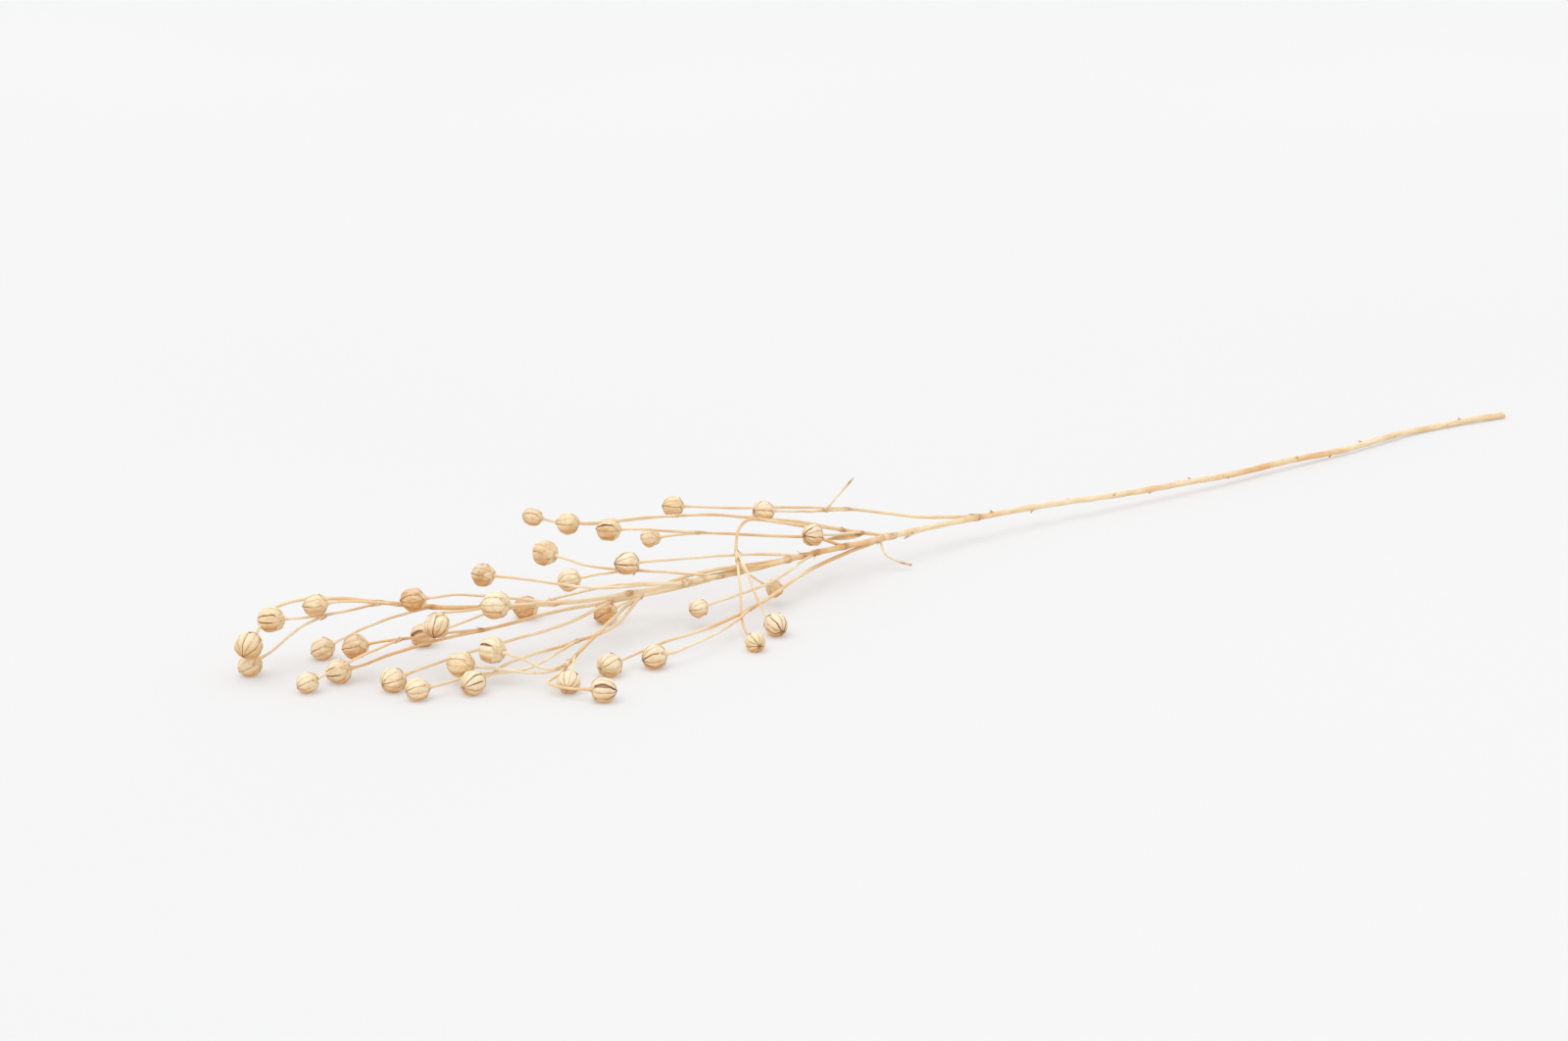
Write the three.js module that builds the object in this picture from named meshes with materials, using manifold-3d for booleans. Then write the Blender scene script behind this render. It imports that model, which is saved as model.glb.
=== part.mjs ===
// One dried flax stem, lying on a flat surface, as cut for a vase.
// Millimetres, +Z up. The stem lies along X with its cut end at +X, its branched
// head at -X, and z = 0 is the surface. The origin is the middle of the space that
// the stem takes up, at the surface.
//
// A flax stem grows as one piece: the stalk divides into branches, each branch into
// thin flower stalks, and each of those ends in a round seed boll. A boll has ten
// ribs that run together in a beak, and stands in a small calyx of five sepals.

import * as THREE from 'three';
import { mergeVertices } from 'three/addons/utils/BufferGeometryUtils.js';
import Module from 'manifold-3d';

// The stalk and what grows from it
const CUT_END_RADIUS = 1.25;
const FLOWER_STALK_RADIUS = 0.4;
// A branch is thicker at its root by this much for each millimetre of its length
const ROOT_THICKENING = 0.0022;
// The stalk keeps its thickness for most of its length, and thins near the top
const STALK_TAPER_POWER = 1.7;
const STALK_SIDES = 10;
const BRANCH_SIDES = 5;
const STALK_STEP = 18;
const BRANCH_STEP = 14;
// The flower stalk widens under the boll
const RECEPTACLE_WIDENING = 1.5;

// A boll, in shares of its radius
const BOLL_MERIDIANS = 20;
const GROOVE_DEPTH = 0.06;
const SEPAL_LIFT = 0.1;
const BEAK_REACH = 1.08;
const NECK_REACH = 1.02;
// Rings from the calyx to the beak: distance along the boll's axis from its middle,
// radius, share of the groove depth that shows there, and share of the sepal lift
const BOLL_RINGS = [
  { along: -0.84, radius: 0.58, groove: 0.3, sepal: 0.5 },
  { along: -0.36, radius: 0.96, groove: 0.8, sepal: 1 },
  { along: 0.4, radius: 0.95, groove: 1, sepal: 0 },
  { along: 0.86, radius: 0.44, groove: 0.8, sepal: 0 },
];
// A boll that lies on the surface is pressed flat there by this much
const SETTLE = 0.35;
// Larger than the stem each way
const SURFACE_SIZE = 700;

// Leaf scars wind up the lower stalk
const SCAR_FIRST = 22;
const SCAR_SPACING = 19;
const SCAR_COUNT = 14;
const SCAR_TURN = THREE.MathUtils.degToRad(137.5);
const SCAR_LENGTH = 2.6;
const SCAR_RADIUS = 0.55;
const SCAR_LIFT = 0.75;
const SCAR_SIDES = 4;
// The stump keeps this share of its thickness until this share of its length
const SCAR_FULLNESS = 0.9;
const SCAR_SHOULDER = 0.6;

// Dried leaves that still cling at a fork
const LEAF_HALF_WIDTH = 1.5;
const LEAF_HALF_THICKNESS = 0.4;
const LEAF_SIDES = 4;
// Share of the leaf's length, and share of its half width there
const LEAF_OUTLINE = [[0, 0.5], [0.35, 1], [0.7, 0.8]];

// The shoots. Each one leaves the shoot it grows on at a share of that shoot's
// length, bends through the points given, and ends in a boll: its middle and its
// diameter. A boll with height 0 lies on the surface.
const SHOOTS = {
  stalk: {
    bends: [
      [281, 24, 1.2], [237, 27, 1.6], [197, 22, 2.2], [151, 19, 3], [107, 16, 4.2],
      [61, 16, 6], [16, 16, 8], [-28, 11, 10], [-70, 5, 12], [-109, -1, 13.5],
      [-146, -4, 15], [-179, -4, 17], [-208, 3, 19], [-229, 16, 20.5],
      [-243, 29, 21], [-255, 35, 21], [-264, 35, 19],
    ],
    boll: [-275, 27, 12, 8.5],
  },

  // Along the top, towards the back
  ridge: {
    on: 'stalk', at: 0.486,
    bends: [[-18, 18, 12], [-33, 21, 15.5], [-49, 23, 19], [-71, 27, 22.5], [-94, 30, 25.5]],
    boll: [-112, 35, 28, 7.5],
  },
  ridgeNear: {
    on: 'ridge', at: 0.46,
    bends: [[-61, 18, 21.5], [-76, 16, 25]],
    boll: [-86.5, 17, 26.5, 7.5],
  },
  back: {
    on: 'stalk', at: 0.56,
    bends: [
      [-53, 15, 14], [-70, 19, 19], [-89, 23, 23],
      [-103, 27, 25.5], [-127, 29, 28], [-144, 32, 28.5],
    ],
    boll: [-152, 38, 28, 7.5],
  },
  backFar: {
    on: 'back', at: 0.69,
    bends: [[-130, 37, 25.5], [-141, 43, 24.5], [-151, 46, 26]],
    boll: [-158.5, 51, 28, 6.5],
  },
  backNear: { on: 'back', at: 0.1, bends: [[-64, 4, 17.5]], boll: [-76, 2, 20, 7.5] },
  crest: {
    on: 'stalk', at: 0.6,
    bends: [[-69, 9, 15.5], [-83, 9, 19], [-102, 11, 22.5], [-123, 14, 26.5], [-136, 18, 28.5]],
    boll: [-144.5, 23.5, 28.5, 8],
  },
  crestSide: { on: 'crest', at: 0.67, bends: [[-122, 16, 24.5]], boll: [-129, 22, 23, 6.5] },

  // The upper side of the head
  upper: {
    on: 'stalk', at: 0.635,
    bends: [[-96, 2, 17], [-120, -1, 21], [-141, -4, 24.5]],
    boll: [-153, -3, 25.5, 8],
  },
  upperBack: {
    on: 'stalk', at: 0.7,
    bends: [[-131, 2, 16.5], [-146, 5, 19.5], [-161, 6, 23.5], [-167, 11, 25.5]],
    boll: [-171, 20, 26, 8.5],
  },
  upperFront: { on: 'upperBack', at: 0.5, bends: [[-161, -1, 23]], boll: [-172.5, 1.5, 22, 7.5] },
  lifted: {
    on: 'stalk', at: 0.725,
    bends: [[-152, -7, 18.5], [-170, -8, 22], [-184, -5, 25], [-193, 0, 27]],
    boll: [-200, 9, 27, 7.5],
  },
  cheek: {
    on: 'stalk', at: 0.765,
    bends: [[-172, -11, 19], [-189, -12, 21.5], [-198, -12, 22.5]],
    boll: [-205, -8, 22.5, 9],
  },
  shoulder: {
    on: 'stalk', at: 0.815,
    bends: [[-196, -1, 21], [-211, 3, 24], [-220, 4, 24.5]],
    boll: [-227, 6, 24.5, 8],
  },
  facing: {
    on: 'stalk', at: 0.85,
    bends: [[-215, 0, 20], [-220, 0, 20.5]],
    boll: [-222.5, -1.5, 17, 8],
  },
  tipTop: {
    on: 'stalk', at: 0.905,
    bends: [[-237, 18, 22], [-246, 21, 23]],
    boll: [-253, 23.5, 22.5, 7.5],
  },
  tipSide: {
    on: 'stalk', at: 0.915,
    bends: [[-244, 23, 18.5], [-255, 27, 17.5]],
    boll: [-264.5, 33, 17, 8.5],
  },
  tipLow: { on: 'tipSide', at: 0.57, bends: [[-257, 28, 14], [-266, 29, 8]], boll: [-273, 32, 0, 7.5] },

  // Low in the middle of the head
  low: {
    on: 'stalk', at: 0.686,
    bends: [
      [-129, -1, 12.5], [-151, 1, 11.5], [-172, 3, 11.5], [-195, 1, 11.5],
      [-217, 1, 11], [-236, 3, 9], [-245, 6, 6],
    ],
    boll: [-252, 10.5, 0, 8],
  },
  lowOver: { on: 'low', at: 0.68, bends: [[-223, 2, 13], [-237, 6, 12.5]], boll: [-246, 10.5, 11, 8] },
  lowEnd: { on: 'lowOver', at: 0.72, bends: [[-248, 4, 9.5], [-259, 7, 5]], boll: [-264, 8, 0, 7] },
  lowFront: {
    on: 'low', at: 0.34,
    bends: [[-177, -5, 10], [-207, -5, 7.5], [-231, -5, 5]],
    boll: [-241, -6, 0, 8],
  },

  // The front branch, whose last flower stalk is folded back like a hook
  hook: {
    on: 'stalk', at: 0.647,
    bends: [
      [-118, 4, 14], [-144, 1, 12], [-164, -10, 9], [-180, -20, 6.5], [-194, -31, 4.5],
      [-201, -35, 3.5], [-198, -42, 3.5], [-194, -46, 3.7],
    ],
    boll: [-189.5, -50, 0, 8],
  },
  hookInner: { on: 'hook', at: 0.75, bends: [[-190, -31, 5.5]], boll: [-195, -37.5, 0, 7.5] },
  frontLong: {
    on: 'hook', at: 0.42,
    bends: [[-164, -12, 8], [-182, -14, 6.5], [-202, -15, 5], [-214, -20, 4.2]],
    boll: [-221, -22, 0, 8],
  },
  frontEnd: {
    on: 'frontLong', at: 0.48,
    bends: [[-201, -22, 4.6], [-217, -16, 3.6], [-230, -18, 3.7]],
    boll: [-238, -17, 0, 7.5],
  },
  frontOver: {
    on: 'hook', at: 0.81,
    bends: [[-202, -28, 5], [-213, -19, 6]],
    boll: [-220, -12, 6.5, 8.5],
  },
  frontHigh: {
    on: 'hook', at: 0.77,
    bends: [[-199, -31, 6.5], [-205, -26, 9.5], [-208, -22, 10.7]],
    boll: [-211, -16.5, 11, 8.5],
  },
  outer: {
    on: 'stalk', at: 0.544,
    bends: [
      [-58, 7, 9], [-79, 0, 8], [-110, -16, 6.5],
      [-135, -24, 5.5], [-148, -25, 4.6], [-162, -28, 4.4],
    ],
    boll: [-177, -32, 0, 8],
  },
  outerFront: {
    on: 'outer', at: 0.6,
    bends: [[-136, -30, 5.2], [-152, -35, 4.6]],
    boll: [-161, -33.5, 0, 8],
  },
  outerInner: {
    on: 'stalk', at: 0.624,
    bends: [[-97, -6, 10], [-113, -9, 8.6], [-120, -9, 7.8]],
    boll: [-129.5, -9.5, 7, 6.5],
  },

  // The branch that has snapped over and hangs down in front
  droop: {
    on: 'back', at: 0.16,
    bends: [
      [-72, 11, 20], [-88, 11, 25], [-97, 10, 27], [-104, 5, 26.5], [-107, 2, 21.5],
      [-112, -7, 16.5], [-115, -13, 11.5], [-119, -20, 6], [-123, -29, 3.6],
    ],
    boll: [-125, -38, 0, 6.5],
  },
  droopSide: {
    on: 'droop', at: 0.59,
    bends: [[-111, -11, 17], [-112, -17, 12], [-112, -23, 6]],
    boll: [-111.5, -29.5, 0, 8],
  },
  droopInner: {
    on: 'droop', at: 0.63,
    bends: [[-109, -8, 15.5], [-102, -6, 10]],
    boll: [-95.5, -4, 6, 6],
  },

  // The underside and the far side, on which the head rests
  under: { on: 'stalk', at: 0.715, bends: [[-136, 8, 10]], boll: [-153, 12, 0, 8] },
  farLow: { on: 'stalk', at: 0.726, bends: [[-146, 15, 11.5], [-162, 26, 7]], boll: [-173, 31, 0, 8] },
  farMiddle: {
    on: 'stalk', at: 0.815,
    bends: [[-196, 10, 13], [-207, 19, 7.5]],
    boll: [-214, 26, 0, 8],
  },
  farEnd: { on: 'stalk', at: 0.885, bends: [[-232, 24, 12], [-240, 30, 7]], boll: [-247, 33, 0, 7.5] },

  // Bare ends: a broken flower stalk that stands up at the back, and a stub in front
  strayTwig: { on: 'ridgeNear', at: 0.36, bends: [[-55, 18.3, 25.8], [-46.5, 20.2, 30.8]] },
  frontStub: { on: 'stalk', at: 0.57, bends: [[-43.2, 5.2, 6.6], [-40.3, 3, 3.8], [-34.5, 1, 1.6]] },
};

// Dried leaves: the shoot, the share of its length, and where the point lies
const LEAVES = [
  { on: 'back', at: 0.08, tip: [-62, 17, 11] },
  { on: 'stalk', at: 0.66, tip: [-124, -8, 17] },
];

const vector = ([x, y, z]) => new THREE.Vector3(x, y, z);
const wasm = await Module();
wasm.setup();

// Joins rings of points into a closed skin. The first ring is closed by a fan, and
// the last one runs together in the point given. A ring may have more points than the
// one before it, as where a flower stalk widens into a boll.
function closedSkin(rings, lastPoint) {
  const positions = [];
  const faces = [];
  const starts = [];
  for (const ring of rings) {
    starts.push(positions.length / 3);
    for (const point of ring) {
      positions.push(point.x, point.y, point.z);
    }
  }
  for (let i = 1; i < rings[0].length - 1; i += 1) {
    faces.push(0, i + 1, i);
  }
  for (let k = 1; k < rings.length; k += 1) {
    const few = rings[k - 1].length;
    const many = rings[k].length;
    const from = starts[k - 1];
    const to = starts[k];
    const share = many / few;
    const before = Math.floor(share / 2);
    for (let i = 0; i < few; i += 1) {
      const next = (i + 1) % few;
      for (let step = 0; step < share; step += 1) {
        const a = (i * share - before + step + many) % many;
        const b = (a + 1) % many;
        faces.push(from + i, to + b, to + a);
      }
      const last = (i * share - before + share + many) % many;
      faces.push(from + i, from + next, to + last);
    }
  }
  const end = starts[starts.length - 1];
  const count = rings[rings.length - 1].length;
  const point = positions.length / 3;
  positions.push(lastPoint.x, lastPoint.y, lastPoint.z);
  for (let i = 0; i < count; i += 1) {
    faces.push(end + i, end + ((i + 1) % count), point);
  }
  const geometry = new THREE.BufferGeometry();
  geometry.setAttribute('position', new THREE.Float32BufferAttribute(positions, 3));
  geometry.setIndex(faces);
  return geometry;
}

function solidOf(geometry) {
  const plain = geometry.clone();
  plain.deleteAttribute('normal');
  plain.deleteAttribute('uv');
  const merged = mergeVertices(plain);
  return new wasm.Manifold(new wasm.Mesh({
    numProp: 3,
    vertProperties: merged.getAttribute('position').array,
    triVerts: new Uint32Array(merged.getIndex().array),
  }));
}

function geometryOf(solid) {
  const mesh = solid.getMesh();
  const geometry = new THREE.BufferGeometry();
  geometry.setAttribute('position', new THREE.BufferAttribute(mesh.vertProperties, 3));
  geometry.setIndex(new THREE.BufferAttribute(mesh.triVerts, 1));
  geometry.computeVertexNormals();
  return geometry;
}

// Frames along a curve, about one for each step of length, with at least one for each
// stretch between bends. Each is turned as little as can be from the one before.
function framesAlong(curve, step) {
  const stretches = curve.points.length - 1;
  const frames = [];
  let side = new THREE.Vector3(0, 0, 1);
  for (let i = 0; i < stretches; i += 1) {
    const length = curve.points[i].distanceTo(curve.points[i + 1]);
    const steps = Math.max(1, Math.round(length / step));
    const last = i === stretches - 1 ? 1 : 0;
    for (let k = 0; k < steps + last; k += 1) {
      const t = (i + k / steps) / stretches;
      const tangent = curve.getTangent(t);
      side = side.clone().addScaledVector(tangent, -side.dot(tangent)).normalize();
      const across = new THREE.Vector3().crossVectors(tangent, side);
      frames.push({ t, point: curve.getPoint(t), tangent, side, across });
    }
  }
  return frames;
}

function ringAt({ side, across }, middle, sides, radiusOf) {
  const ring = [];
  for (let i = 0; i < sides; i += 1) {
    const angle = (i / sides) * 2 * Math.PI;
    const radius = radiusOf(i);
    const point = middle.clone();
    point.addScaledVector(side, radius * Math.cos(angle));
    point.addScaledVector(across, radius * Math.sin(angle));
    ring.push(point);
  }
  return ring;
}

// The rings of a boll, and the point of its beak
function bollRings(frame, middle, radius) {
  const rings = BOLL_RINGS.map((ring) => {
    const centre = middle.clone().addScaledVector(frame.tangent, ring.along * radius);
    return ringAt(frame, centre, BOLL_MERIDIANS, (i) => {
      const inGroove = i % 2 === 1;
      const onSepal = i % 4 === 0;
      const depth = inGroove ? ring.groove * GROOVE_DEPTH : 0;
      const lift = onSepal ? ring.sepal * SEPAL_LIFT : 0;
      return radius * (ring.radius * (1 - depth) + lift);
    });
  });
  const beak = middle.clone().addScaledVector(frame.tangent, BEAK_REACH * radius);
  return { rings, beak };
}

// One shoot with its boll, from the middle of what carries it
const curves = {};
function shootSolid(name) {
  const { on, at, bends, boll } = SHOOTS[name];
  const points = bends.map(vector);
  const isStalk = on === undefined;
  if (!isStalk) {
    points.unshift(curves[on].getPointAt(at));
  }
  let middle;
  let bollRadius;
  if (boll) {
    bollRadius = boll[3] / 2;
    const height = boll[2] === 0 ? bollRadius - SETTLE : boll[2];
    middle = new THREE.Vector3(boll[0], boll[1], height);
    const axis = middle.clone().sub(points[points.length - 1]).normalize();
    points.push(middle.clone().addScaledVector(axis, -NECK_REACH * bollRadius));
  }
  const curve = new THREE.CatmullRomCurve3(points, false, 'catmullrom', 0.5);
  curve.arcLengthDivisions = 600;
  curves[name] = curve;

  const sides = isStalk ? STALK_SIDES : BRANCH_SIDES;
  const frames = framesAlong(curve, isStalk ? STALK_STEP : BRANCH_STEP);
  const root = isStalk ? CUT_END_RADIUS : FLOWER_STALK_RADIUS + ROOT_THICKENING * curve.getLength();
  const power = isStalk ? STALK_TAPER_POWER : 1;
  const rings = frames.map((frame, i) => {
    let radius = root + (FLOWER_STALK_RADIUS - root) * frame.t ** power;
    if (boll && i === frames.length - 1) {
      radius *= RECEPTACLE_WIDENING;
    }
    return ringAt(frame, frame.point, sides, () => radius);
  });
  const lastFrame = frames[frames.length - 1];
  let endPoint = lastFrame.point.clone().addScaledVector(lastFrame.tangent, FLOWER_STALK_RADIUS);
  if (boll) {
    const { rings: bollSkin, beak } = bollRings(lastFrame, middle, bollRadius);
    rings.push(...bollSkin);
    endPoint = beak;
  }
  return solidOf(closedSkin(rings, endPoint));
}

// A leaf scar with the stump of its leaf, at a distance along the stalk
function scarSolid(index) {
  const curve = curves.stalk;
  const share = (SCAR_FIRST + index * SCAR_SPACING) / curve.getLength();
  const t = curve.getUtoTmapping(share);
  const tangent = curve.getTangent(t);
  const up = new THREE.Vector3(0, 0, 1);
  const side = up.addScaledVector(tangent, -up.dot(tangent)).normalize();
  const across = new THREE.Vector3().crossVectors(tangent, side);
  const angle = index * SCAR_TURN;
  const outward = side.clone().multiplyScalar(Math.cos(angle)).addScaledVector(across, Math.sin(angle));
  const foot = curve.getPoint(t);
  const tip = foot.clone().addScaledVector(tangent, SCAR_LENGTH);
  tip.addScaledVector(outward, CUT_END_RADIUS + SCAR_LIFT);
  const direction = tip.clone().sub(foot).normalize();
  const edge = new THREE.Vector3().crossVectors(direction, tangent).normalize();
  const frame = { side: edge, across: new THREE.Vector3().crossVectors(direction, edge) };
  const shoulder = foot.clone().lerp(tip, SCAR_SHOULDER);
  const rings = [
    ringAt(frame, foot, SCAR_SIDES, () => SCAR_RADIUS),
    ringAt(frame, shoulder, SCAR_SIDES, () => SCAR_RADIUS * SCAR_FULLNESS),
  ];
  return solidOf(closedSkin(rings, tip));
}

// A dried leaf, a thin pointed blade
function leafSolid({ on, at, tip }) {
  const foot = curves[on].getPointAt(at);
  const point = vector(tip);
  const direction = point.clone().sub(foot).normalize();
  const flat = new THREE.Vector3().crossVectors(direction, new THREE.Vector3(0, 0, 1)).normalize();
  const frame = { side: flat, across: new THREE.Vector3().crossVectors(direction, flat) };
  const rings = LEAF_OUTLINE.map(([share, width]) => {
    const middle = foot.clone().lerp(point, share);
    const halfWidth = width * LEAF_HALF_WIDTH;
    return ringAt(frame, middle, LEAF_SIDES, (i) => (i % 2 === 0 ? halfWidth : LEAF_HALF_THICKNESS));
  });
  return solidOf(closedSkin(rings, point));
}

// What the stem would press into the surface is taken off
function belowSurface() {
  const box = new THREE.BoxGeometry(SURFACE_SIZE, SURFACE_SIZE, SURFACE_SIZE);
  box.translate(0, 0, -SURFACE_SIZE / 2);
  return solidOf(box);
}

function flaxStem() {
  let solid = null;
  for (const name of Object.keys(SHOOTS)) {
    const shoot = shootSolid(name);
    solid = solid ? solid.add(shoot) : shoot;
  }
  for (let i = 0; i < SCAR_COUNT; i += 1) {
    solid = solid.add(scarSolid(i));
  }
  for (const leaf of LEAVES) {
    solid = solid.add(leafSolid(leaf));
  }
  return geometryOf(solid.subtract(belowSurface()));
}

const straw = new THREE.MeshStandardMaterial({ color: 0xdcc18e, roughness: 0.75, metalness: 0 });
const stem = new THREE.Mesh(flaxStem(), straw);
stem.name = 'flax_stem';

const object = new THREE.Group();
object.add(stem);

export default object;
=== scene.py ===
import bisect
import math
import random
from collections import namedtuple

import bpy
from mathutils import Matrix, Vector


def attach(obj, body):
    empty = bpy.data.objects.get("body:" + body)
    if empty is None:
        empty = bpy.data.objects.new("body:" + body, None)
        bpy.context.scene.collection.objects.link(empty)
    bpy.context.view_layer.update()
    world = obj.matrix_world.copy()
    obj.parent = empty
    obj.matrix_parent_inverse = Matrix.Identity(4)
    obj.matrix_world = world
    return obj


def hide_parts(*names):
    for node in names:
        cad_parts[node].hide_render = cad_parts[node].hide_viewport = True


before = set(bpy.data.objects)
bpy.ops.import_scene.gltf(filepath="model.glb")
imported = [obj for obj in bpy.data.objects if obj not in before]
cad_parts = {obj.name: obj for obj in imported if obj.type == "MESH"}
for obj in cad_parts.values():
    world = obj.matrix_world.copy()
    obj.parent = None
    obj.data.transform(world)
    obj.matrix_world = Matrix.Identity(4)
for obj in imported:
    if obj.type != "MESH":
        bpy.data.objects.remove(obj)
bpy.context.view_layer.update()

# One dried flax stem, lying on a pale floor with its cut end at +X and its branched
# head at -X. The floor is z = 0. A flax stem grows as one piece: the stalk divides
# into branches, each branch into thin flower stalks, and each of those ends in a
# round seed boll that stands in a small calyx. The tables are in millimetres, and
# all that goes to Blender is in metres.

MM = 0.001
BODY = "root"
CAD_STEM = "flax_stem"
UP = Vector((0, 0, 1))
FULL_TURN = 2 * math.pi
# Starts the draws that make each shoot, boll and bract a little its own
SEED = 41

# The stalk and what grows from it, as in the CAD model
CUT_END_RADIUS = 1.25 * MM
FLOWER_STALK_RADIUS = 0.4 * MM
ROOT_THICKENING = 0.0022
STALK_TAPER_POWER = 1.7
NECK_REACH = 1.02
SETTLE = 0.35 * MM

# What the CAD model leaves out: a collar where a shoot starts, a knot where one forks
# off, a wider end under the boll, and a line that is never quite straight
PATH_STEP = 0.8 * MM
COLLAR = 0.6
COLLAR_REACH = 1.3 * MM
KNOT = 0.22
KNOT_REACH = 1.6 * MM
RECEPTACLE = 1.1
RECEPTACLE_REACH = 0.9 * MM
# How far a shoot strays from its line, and the shortest and longest wave it does so in
WAVES = [(0.2 * MM, 34 * MM, 60 * MM), (0.045 * MM, 9 * MM, 16 * MM)]
WAVE_EASE = 9 * MM
UNEVEN = 0.05
RIPPLES = (1.1 * MM, 2.3 * MM, 4.9 * MM)
FORK_MARK_REACH = 2.2 * MM
BROWN_END = 3 * MM
# A shoot's outline stands out and in by turns, in shares of its radius
STALK_SIDES = 16
BRANCH_SIDES = 10
RIDGE = 1.03
FLUTE = 0.96

# The slanting cut: a place on it, the way it faces, and the rind round the sunk pith
CUT_PLACE = Vector((280.45, 24, 1.2)) * MM
CUT_WAY = (1, 0.1, 0.45)
RIND = 0.38 * MM
PITH_SINK = 0.5 * MM

# A boll has its axis along Z, and all its sizes are shares of its radius. Its outline is
# radius and height, from the calyx to the point of the beak, and is joined by a curve.
BOLL_OUTLINE = [
    (0.14, -1.0), (0.36, -0.95), (0.69, -0.74), (0.94, -0.36), (1.0, 0.09), (0.895, 0.5),
    (0.595, 0.812), (0.255, 0.972), (0.1, 1.01), (0.025, 1.08),
]
RINGS_PER_STRETCH = 3
VALVES = 10
COLUMNS_PER_VALVE = 10
COLUMNS = VALVES * COLUMNS_PER_VALVE
# A groove is a narrow crease in a wide hollow, and fades towards the foot and the beak.
# Every second groove is a partition that shows less.
GROOVE_DEPTH = 0.065
FALSE_GROOVE = 0.55
CREASE = 0.6
CREASE_REACH = 0.85
HOLLOW = 0.13
GROOVE_FOOT = -0.95
FOOT_FADE = 0.6
GROOVE_BEAK_REACH = 0.35
SLIT_DEPTH = 0.15
SLIT_BEAK_REACH = 0.55
# The open slits of each kind of boll: the groove, the heights where the slit ends, and
# its half width in columns
SLITS = {
    "closed": [],
    "cracked": [(0, -0.55, 0.97, 0.2), (9, -0.3, 1.0, 0.1)],
    "split": [(0, -0.5, 1.0, 0.95), (8, 0.0, 1.0, 0.45), (4, 0.1, 1.0, 0.9)],
    "gaping": [(0, -0.72, 0.98, 2.1), (8, -0.1, 1.0, 1.1), (4, 0.0, 1.0, 1.6)],
}
SEPALS = 5
SEPAL_LENGTH = 1.2
SEPAL_WIDTH = 0.62
SEPAL_OUT = 1.05
SEPAL_TILT = math.radians(54)
SEPAL_LIFT = 0.025
SEPAL_THICKNESS = 0.035
# Above each of these heights the sepals flare by this much
SEPAL_FLARES = [(-0.6, 1.015), (-0.5, 1.02)]
# No boll is quite round
UNROUND = 0.03
LUMP_SIZE = 3.2 * MM
LUMPINESS = 0.9 * MM

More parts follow.
